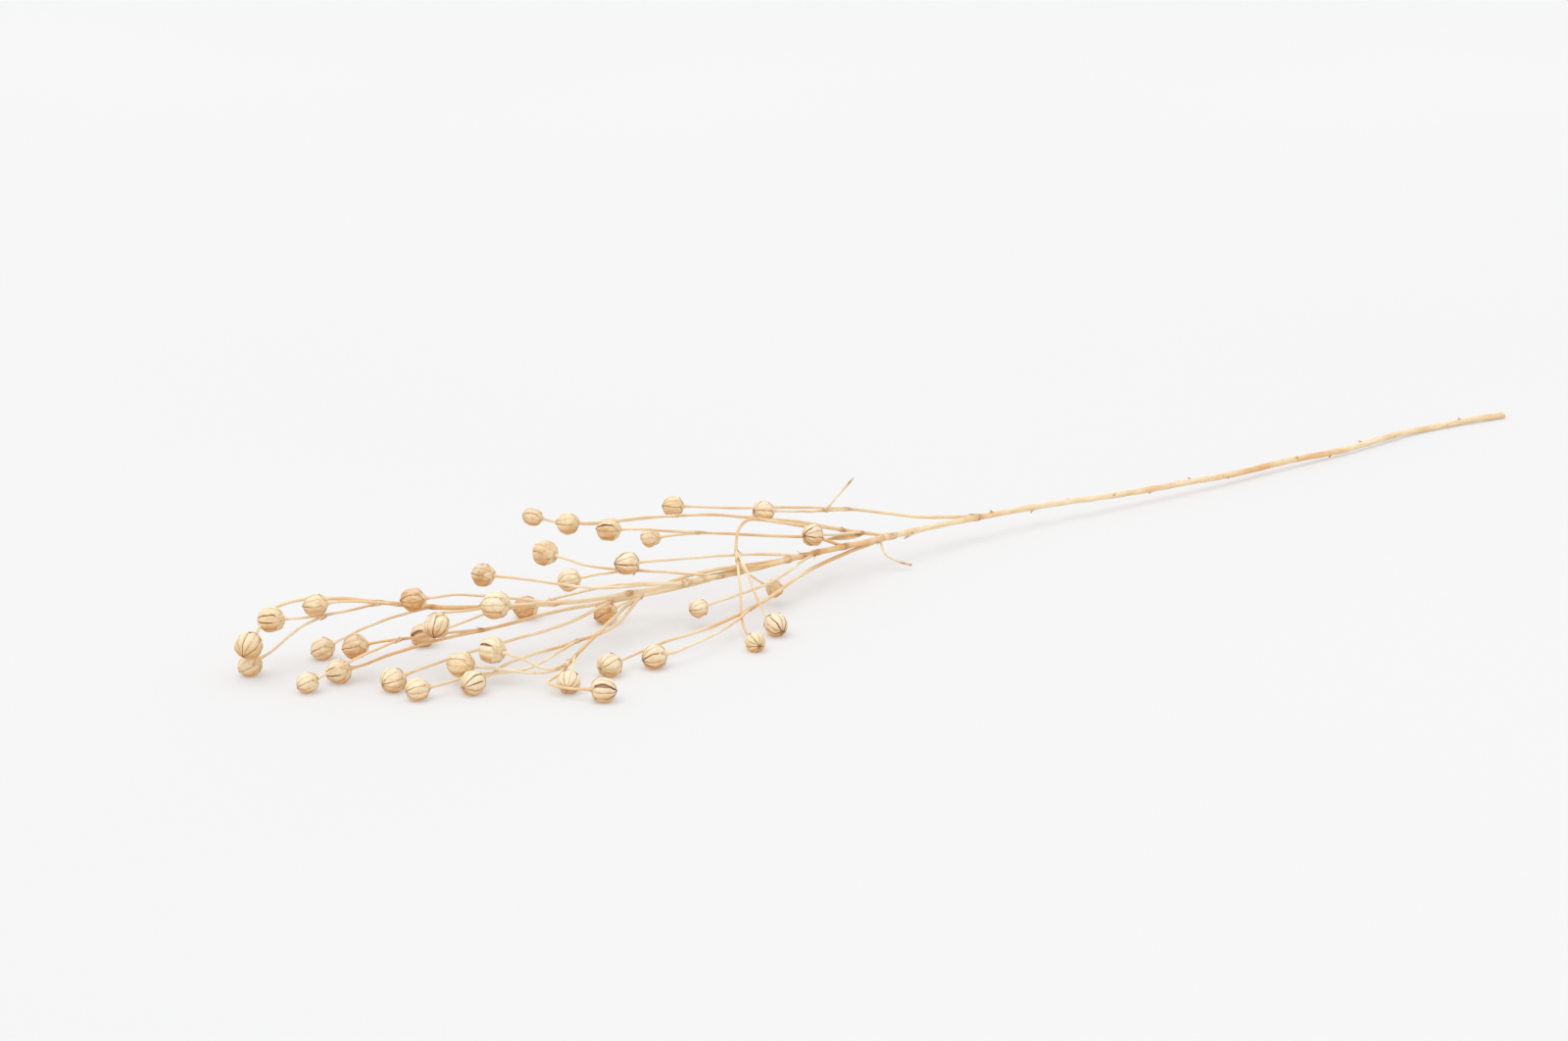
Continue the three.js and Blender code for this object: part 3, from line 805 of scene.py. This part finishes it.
def waves(shoot, draw):
    """How far the shoot strays from its line at each distance along it."""
    parts = []
    for size, shortest, longest in WAVES:
        for _ in range(2):
            way = Vector([draw.uniform(-1, 1) for _ in range(3)])
            pace = FULL_TURN / draw.uniform(shortest, longest)
            parts.append((way.normalized() * size, pace, draw.uniform(0, FULL_TURN)))

    def stray(distance):
        ease = min(1, distance / WAVE_EASE, (shoot.line.length - distance) / WAVE_EASE)
        total = Vector((0, 0, 0))
        for way, pace, start in parts:
            total += way * math.sin(pace * distance + start)
        return total * ease

    return stray


def shoot_path(shoot, draw):
    """A path of close points along the shoot, with the shoot's thickness at each."""
    stray = waves(shoot, draw)
    starts = [draw.uniform(0, FULL_TURN) for _ in RIPPLES]
    length = shoot.line.length
    steps = max(4, math.ceil(length / PATH_STEP))
    curve = bpy.data.curves.new(shoot.name, "CURVE")
    curve.dimensions = "3D"
    path = curve.splines.new("POLY")
    path.points.add(steps)
    for k, point in enumerate(path.points):
        distance = min(length * k / steps, length)
        ripple = sum(math.sin(distance / size + start) for size, start in zip(RIPPLES, starts))
        radius = shoot.radius(distance) * (1 + UNEVEN * ripple / 2)
        place = shoot.line.at(distance) + stray(distance)
        place.z = max(place.z, radius)
        point.co = (*place, 1)
        point.radius = radius
    return curve


def shoot_tube(shoot, shape, draw):
    """The outline swept along the shoot's path into a closed mesh."""
    curve = shoot_path(shoot, draw)
    curve.bevel_mode = "OBJECT"
    curve.bevel_object = shape
    curve.use_fill_caps = True
    tube = bpy.data.objects.new(shoot.name, curve)
    bpy.context.scene.collection.objects.link(tube)
    work_on(tube)
    bpy.ops.object.convert(target="MESH")
    tube = bpy.context.object
    bpy.ops.object.mode_set(mode="EDIT")
    bpy.ops.mesh.select_all(action="SELECT")
    bpy.ops.mesh.remove_doubles(threshold=0.001 * MM)
    bpy.ops.mesh.normals_make_consistent(inside=False)
    bpy.ops.object.mode_set(mode="OBJECT")
    write_run(tube.data, shoot)
    return tube


def write_run(mesh, shoot):
    """Keeps each point's distance along the shoot, and how near to a fork that is."""
    run = [0.0] * len(mesh.vertices)
    shares = mesh.uv_layers["UVMap"].uv
    for face in mesh.polygons:
        if len(face.vertices) == 4:
            for corner in face.loop_indices:
                share = shares[corner].vector.x
                run[mesh.loops[corner].vertex_index] = share * shoot.line.length
    write_field(mesh, "run", "FLOAT", run)
    write_field(mesh, "fork", "FLOAT", [shoot.fork_mark(distance) for distance in run])


def cut_end(stalk, straw, pith):
    """A slanted cut, with the pith sunk a little inside the rind."""
    work_on(stalk)
    stalk.data.materials.append(straw)
    stalk.data.materials.append(pith)
    bpy.ops.object.mode_set(mode="EDIT")
    bpy.ops.mesh.select_all(action="SELECT")
    bpy.ops.mesh.bisect(
        plane_co=CUT_PLACE, plane_no=CUT_WAY, use_fill=True, clear_outer=True)
    bpy.ops.mesh.inset(thickness=RIND)
    bpy.ops.object.mode_set(mode="OBJECT")
    for face in stalk.data.polygons:
        if face.select:
            face.material_index = 1
    bpy.ops.object.mode_set(mode="EDIT")
    bpy.ops.transform.translate(value=(-PITH_SINK, 0, 0))
    bpy.ops.object.mode_set(mode="OBJECT")


# The bolls

def nearest_column(place):
    return round(math.atan2(place.y, place.x) / FULL_TURN * COLUMNS) % COLUMNS


def groove_share(place):
    """How deep the shell is pressed at a place: 1 in a groove, 0 on the ribs."""
    column = nearest_column(place)
    groove = round(column / COLUMNS_PER_VALVE)
    off = column - groove * COLUMNS_PER_VALVE
    share = CREASE * math.exp(-(off / CREASE_REACH) ** 2)
    share += HOLLOW * (1 + math.cos(FULL_TURN * off / COLUMNS_PER_VALVE))
    if groove % 2:
        share *= FALSE_GROOVE
    fade = min(1, max(0, (place.z - GROOVE_FOOT) / FOOT_FADE))
    return share * fade * min(1, math.hypot(place.x, place.y) / GROOVE_BEAK_REACH)


def slit_share(place, slits):
    """1 in the middle of an open slit, and 0 off it. A slit narrows towards its ends."""
    column = nearest_column(place)
    for groove, low, high, half_width in slits:
        if low < place.z < high:
            off = abs((column - groove * COLUMNS_PER_VALVE + COLUMNS / 2) % COLUMNS - COLUMNS / 2)
            open_here = half_width * math.sin(math.pi * (place.z - low) / (high - low)) ** 0.6
            share = min(1, max(0, open_here - off + 0.5))
            if share > 0:
                return share * min(1, math.hypot(place.x, place.y) / SLIT_BEAK_REACH)
    return 0.0


def press(shell, depth, shares):
    """Presses the shell in along its normals, by the depth times each point's share."""
    group = shell.vertex_groups.new(name="pressed")
    for index, share in enumerate(shares):
        if share > 0:
            group.add([index], min(share, 1), "REPLACE")
    work_on(shell)
    bpy.ops.object.modifier_add(type="DISPLACE")
    pressing = shell.modifiers[-1]
    pressing.vertex_group = "pressed"
    pressing.mid_level = 0
    pressing.strength = -depth
    bpy.ops.object.modifier_apply(modifier=pressing.name)
    shell.vertex_groups.clear()


def draw_up(columns, rings):
    """A round form drawn up ring by ring. Each ring is its middle and its radius."""
    clear_selection()
    middle, radius = rings[0]
    bpy.ops.mesh.primitive_circle_add(
        vertices=columns, radius=radius, fill_type="NGON", location=middle)
    form = bpy.context.object
    bpy.ops.object.transform_apply(location=True)
    bpy.ops.object.mode_set(mode="EDIT")
    bpy.ops.mesh.select_all(action="SELECT")
    for next_middle, next_radius in rings[1:]:
        step = Vector(next_middle) - Vector(middle)
        bpy.ops.mesh.extrude_region_move(TRANSFORM_OT_translate={"value": step})
        share = next_radius / radius
        bpy.ops.transform.resize(value=(share, share, 1), center_override=next_middle)
        middle, radius = next_middle, next_radius
    bpy.ops.mesh.merge(type="CENTER")
    bpy.ops.mesh.select_all(action="SELECT")
    bpy.ops.mesh.normals_make_consistent(inside=False)
    bpy.ops.object.mode_set(mode="OBJECT")
    return form


def leaf_outline(share):
    """Half-round at the foot and drawn out to a point."""
    return 0.04 + 0.96 * math.sin(math.pi * share ** 0.62) ** 0.9


def blade(length, width, rows=12):
    """A flat pointed leaf on the XY plane, its foot at -Y. Its own place stays on it."""
    clear_selection()
    bpy.ops.mesh.primitive_grid_add(x_subdivisions=6, y_subdivisions=rows, size=1)
    leaf = bpy.context.object
    own = [value for point in leaf.data.vertices for value in point.co]
    write_field(leaf.data, "blade", "FLOAT_VECTOR", own)
    bpy.ops.object.mode_set(mode="EDIT")
    for row in range(rows + 1):
        along = row / rows - 0.5
        select_points(leaf, lambda co: abs(co.y - along) < 0.2 / rows)
        share = width * leaf_outline(row / rows)
        bpy.ops.transform.resize(value=(share, 1, 1), center_override=(0, along, 0))
    bpy.ops.mesh.select_all(action="SELECT")
    bpy.ops.transform.resize(value=(1, length, 1), center_override=(0, 0, 0))
    bpy.ops.object.mode_set(mode="OBJECT")
    return leaf


def calyx(shell, papery):
    """Five sepals that cup the foot of the boll, their points a little free."""
    sepal = blade(SEPAL_LENGTH, SEPAL_WIDTH)
    sepal.data.materials.append(papery)
    sepal.rotation_euler = (math.radians(90), 0, math.radians(90))
    sepal.location = (SEPAL_OUT, 0, 0)
    bpy.ops.object.transform_apply(location=True, rotation=True)
    sepal.rotation_euler = (0, SEPAL_TILT, 0)
    bpy.ops.object.transform_apply(rotation=True)
    bpy.ops.object.modifier_add(type="SHRINKWRAP")
    wrap = sepal.modifiers[-1]
    wrap.target = shell
    wrap.wrap_method = "NEAREST_SURFACEPOINT"
    wrap.wrap_mode = "ABOVE_SURFACE"
    wrap.offset = SEPAL_LIFT
    apply_all(sepal)
    bpy.ops.object.mode_set(mode="EDIT")
    for height, flare in SEPAL_FLARES:
        select_points(sepal, lambda co: co.z > height)
        bpy.ops.transform.resize(value=(flare, flare, 1), center_override=(0, 0, 0))
    bpy.ops.mesh.select_all(action="SELECT")
    for _ in range(SEPALS - 1):
        bpy.ops.mesh.duplicate()
        bpy.ops.transform.rotate(
            value=FULL_TURN / SEPALS, orient_axis="Z", center_override=(0, 0, 0))
    bpy.ops.object.mode_set(mode="OBJECT")
    bpy.ops.object.modifier_add(type="SOLIDIFY")
    sepal.modifiers[-1].thickness = SEPAL_THICKNESS
    sepal.modifiers[-1].offset = 1
    apply_all(sepal)
    return sepal


def boll_master(name, slits, papery):
    """A boll of radius 1 round the origin, with its calyx at -Z and its beak at +Z."""
    profile = Line([(radius, 0, height) for radius, height in BOLL_OUTLINE])
    count = RINGS_PER_STRETCH * (len(BOLL_OUTLINE) - 1)
    spots = [profile.at_share(ring / count) for ring in range(count + 1)]
    shell = draw_up(COLUMNS, [((0, 0, spot.z), spot.x) for spot in spots])
    places = [point.co.copy() for point in shell.data.vertices]
    open_shares = [slit_share(place, slits) for place in places]
    write_field(shell.data, "own", "FLOAT_VECTOR", [part for place in places for part in place])
    write_field(shell.data, "slit", "FLOAT", open_shares)
    # Each boll's own finish takes this first slot
    shell.data.materials.append(None)
    sepals = calyx(shell, papery)
    press(shell, GROOVE_DEPTH, [groove_share(place) for place in places])
    if slits:
        press(shell, SLIT_DEPTH, open_shares)
    master = join([shell, sepals], name)
    bpy.ops.object.shade_smooth()
    return master


def boll_spin(axis, opened, draw):
    """The turn round its axis: any turn for a closed boll, and for an open one, its first
    slit towards the camera and a little up."""
    if not opened:
        return draw.uniform(0, FULL_TURN)
    view = (CAMERA_PLACE - LOOKED_AT).normalized()
    local = axis.to_track_quat("Z", "Y").inverted() @ (view + 0.5 * UP)
    return math.atan2(local.y, local.x)


def warp(piece, lumps, amount):
    """Pushes the whole form gently out of true, each place its own way."""
    work_on(piece)
    bpy.ops.object.modifier_add(type="DISPLACE")
    pushing = piece.modifiers[-1]
    pushing.texture = lumps
    pushing.direction = "RGB_TO_XYZ"
    pushing.texture_coords = "LOCAL"
    pushing.strength = amount
    bpy.ops.object.modifier_apply(modifier=pushing.name)


def set_boll(master, shoot, finish, lumps, draw):
    middle, axis, radius = shoot.boll
    turn = axis.to_track_quat("Z", "Y").to_matrix().to_4x4()
    spin = Matrix.Rotation(boll_spin(axis, shoot.name in OPENED, draw), 4, "Z")
    uneven = Matrix.Diagonal([1 + draw.uniform(-UNROUND, UNROUND) for _ in range(3)] + [1])
    place = Matrix.Translation(middle) @ turn @ spin @ Matrix.Scale(radius, 4) @ uneven
    boll = copy_of(master, "boll_" + shoot.name, place)
    boll.data.materials[0] = finish
    warp(boll, lumps, LUMPINESS)
    return boll


# Stumps, bracts and leaves

def frame_towards(foot, way, outward, length, width):
    """Puts a form's +Z along the way, and its +X as near to outward as that allows."""
    along = way.normalized()
    out = (outward - along * outward.dot(along)).normalized()
    across = along.cross(out)
    columns = [out * width, across * width, along * length, foot]
    return Matrix([[column[i] for column in columns] for i in range(3)] + [[0, 0, 0, 1]])


def stump_master(straw):
    """The stump of a leaf: it tapers, flattens and bends out to its torn tip."""
    stump = draw_up(12, STUMP_RINGS)
    bpy.ops.object.mode_set(mode="EDIT")
    bpy.ops.mesh.select_all(action="SELECT")
    bpy.ops.transform.resize(value=(0.75, 1.25, 1), center_override=(0, 0, 0))
    bpy.ops.object.mode_set(mode="OBJECT")
    bpy.ops.object.shade_smooth()
    stump.data.materials.append(straw)
    places = [point.co.z for point in stump.data.vertices]
    write_field(stump.data, "fork", "FLOAT", [0.4 + 0.6 * place for place in places])
    write_field(stump.data, "run", "FLOAT", [place * STUMP_LENGTH for place in places])
    return stump


def bract_master(name, finish, curl, twist, thickness, rows=12):
    """A dried bract or leaf from the origin up +Z, keeled, curled and twisted."""
    leaf = blade(1, 1, rows)
    select_points(leaf, lambda co: abs(co.x) < 0.02)
    bpy.ops.transform.translate(value=(0, 0, -KEEL))
    for row in range(1, rows):
        along = row / rows - 0.5
        select_points(leaf, lambda co: co.y > along)
        bpy.ops.transform.translate(value=(0, 0, curl * row / rows ** 2))
        bpy.ops.transform.rotate(
            value=twist / rows, orient_axis="Y", center_override=(0, 0, 0))
    bpy.ops.object.mode_set(mode="OBJECT")
    leaf.location = (0, 0, 0.5)
    leaf.rotation_euler = (math.radians(90), 0, math.radians(90))
    bpy.ops.object.transform_apply(location=True, rotation=True)
    bpy.ops.object.modifier_add(type="SOLIDIFY")
    leaf.modifiers[-1].thickness = thickness
    leaf.modifiers[-1].offset = 0
    apply_all(leaf)
    bpy.ops.object.shade_smooth()
    leaf.name = name
    leaf.data.materials.append(finish)
    return leaf


def set_stumps(master, stalk):
    stumps = []
    for i in range(STUMP_COUNT):
        distance = STUMP_FIRST + i * STUMP_SPACING
        foot = stalk.line.at(distance)
        heading = stalk.line.heading(distance)
        side = (UP - heading * UP.dot(heading)).normalized()
        across = heading.cross(side)
        angle = i * STUMP_TURN
        outward = side * math.cos(angle) + across * math.sin(angle)
        way = heading * STUMP_LENGTH + outward * (CUT_END_RADIUS + STUMP_LIFT)
        place = frame_towards(foot, way, outward, way.length, STUMP_WIDTH)
        stumps.append(copy_of(master, "stump", place))
    return stumps


def set_bracts(master, grown, draw):
    """A bract under each fork, pressed between the carrier and the shoot."""
    bracts = []
    for shoot in grown.values():
        carrier = grown.get(SHOOTS[shoot.name].carrier)
        if carrier is None:
            continue
        fork = SHOOTS[shoot.name].share * carrier.line.length
        heading = carrier.line.heading(fork)
        leaving = (shoot.line.at(LEAVING_REACH) - shoot.line.at(0)).normalized()
        outward = leaving - heading * leaving.dot(heading)
        outward = outward.normalized() if outward.length > 0.02 else UP.copy()
        seat = outward * carrier.radius(fork) * BRACT_SEAT
        foot = carrier.line.at(fork - BRACT_BACK) + seat
        way = heading + outward * draw.uniform(*BRACT_LEANS)
        length = draw.uniform(*BRACT_LENGTHS) * MM
        width = draw.uniform(*BRACT_WIDTHS) * MM
        place = frame_towards(foot, way, outward, length, width)
        bracts.append(copy_of(master, "bract", place))
    return bracts


def set_leaves(master, grown):
    leaves = []
    for carrier, share, tip in LEAVES:
        line = grown[carrier].line
        foot = line.at(share * line.length)
        way = Vector(tip) * MM - foot
        place = frame_towards(foot, way, UP, way.length, LEAF_WIDTH)
        leaves.append(copy_of(master, "leaf", place))
    return leaves


# The camera, the light and the floor

def set_camera():
    bpy.ops.object.camera_add(location=CAMERA_PLACE)
    camera = bpy.context.object
    camera.name = "camera"
    towards = LOOKED_AT - CAMERA_PLACE
    camera.rotation_euler = towards.to_track_quat("-Z", "Y").to_euler()
    camera.data.lens = LENS
    camera.data.sensor_width = SENSOR
    camera.data.clip_start = 0.01
    camera.data.clip_end = 50
    bpy.context.scene.camera = camera


def set_light():
    """An even pale room, and one wide soft light from above."""
    bpy.context.scene.view_settings.view_transform = "Standard"
    room = bpy.data.worlds.new("studio")
    bpy.context.scene.world = room
    room.use_nodes = True
    background = room.node_tree.nodes["Background"]
    background.inputs["Color"].default_value = (1, 1, 1, 1)
    background.inputs["Strength"].default_value = ROOM_BRIGHTNESS
    clear_selection()
    bpy.ops.object.light_add(type="SUN", location=(0, 0, 1))
    top = bpy.context.object
    top.name = "top_light"
    top.data.energy = TOP_LIGHT
    top.data.angle = math.radians(TOP_LIGHT_SPREAD)
    top.rotation_euler = TOP_LIGHT_WAY.to_track_quat("-Z", "Y").to_euler()


def set_floor():
    clear_selection()
    bpy.ops.mesh.primitive_plane_add(size=FLOOR_SIZE, location=(0, 0, 0))
    floor = bpy.context.object
    floor.name = "floor"
    floor.data.materials.append(floor_finish())


set_camera()
set_light()
set_floor()

straw = straw_finish("straw", light="f7e8cb", weathering=0.85)
pale_straw = straw_finish("pale_straw", light="fbf2dd", weathering=0.45)
papery = blade_finish("papery", light="f3e2c0", dark="dfbd8a", tip_tint="b98751")
dead_leaf = blade_finish("dead_leaf", light="e8cb9c", dark="cda26b", tip_tint="a06f40")
shells = {name: boll_finish("shell_" + name, shell) for name, shell in SHELLS.items()}
grown = grow_all()
draw = random.Random(SEED)

# The shoots, joined by what they carry
thick = outline("stalk_outline", STALK_SIDES)
thin = outline("branch_outline", BRANCH_SIDES)
tubes = {}
for name, shoot in grown.items():
    tubes[name] = shoot_tube(shoot, thick if name == "stalk" else thin, draw)
bpy.data.objects.remove(thick)
bpy.data.objects.remove(thin)
carriers = {shoot.carrier for shoot in SHOOTS.values()}
cut_end(tubes["stalk"], straw, pith_finish())
for name in grown:
    if name != "stalk":
        tubes[name].data.materials.append(straw if name in carriers else pale_straw)
stem_pieces = [
    join([tubes["stalk"]], "stalk"),
    join([tubes[name] for name in grown if name in carriers and name != "stalk"], "branches"),
    join([tubes[name] for name in grown if name not in carriers], "flower_stalks"),
]
for piece in stem_pieces:
    work_on(piece)
    bpy.ops.object.shade_smooth_by_angle(angle=math.radians(60))

# The bolls
masters = {kind: boll_master(kind, slits, papery) for kind, slits in SLITS.items()}
colour_of = {name: colour for colour, names in COLOURED.items() for name in names}
lumps = bpy.data.textures.new("lumps", "CLOUDS")
lumps.noise_scale = LUMP_SIZE
lumps.cloud_type = "COLOR"
lumps.noise_depth = 1
bolls = []
for name, shoot in grown.items():
    if shoot.boll:
        kind = OPENED.get(name, "closed")
        finish = shells[colour_of.get(name, "tan")]
        bolls.append(set_boll(masters[kind], shoot, finish, lumps, draw))

# What clings to the stalk and the forks
stump = stump_master(straw)
bract = bract_master("bract_master", papery, curl=0.5, twist=math.radians(25), thickness=0.1)
leaf = bract_master(
    "leaf_master", dead_leaf, curl=0.9, twist=math.radians(140), thickness=0.05, rows=24)
small_parts = [
    join(set_stumps(stump, grown["stalk"]), "leaf_stumps"),
    join(set_bracts(bract, grown, draw), "bracts"),
    join(set_leaves(leaf, grown), "dried_leaves"),
]
for form in [stump, bract, leaf] + list(masters.values()):
    bpy.data.objects.remove(form)

for piece in stem_pieces + bolls + small_parts:
    hand_over(piece)
clear_selection()
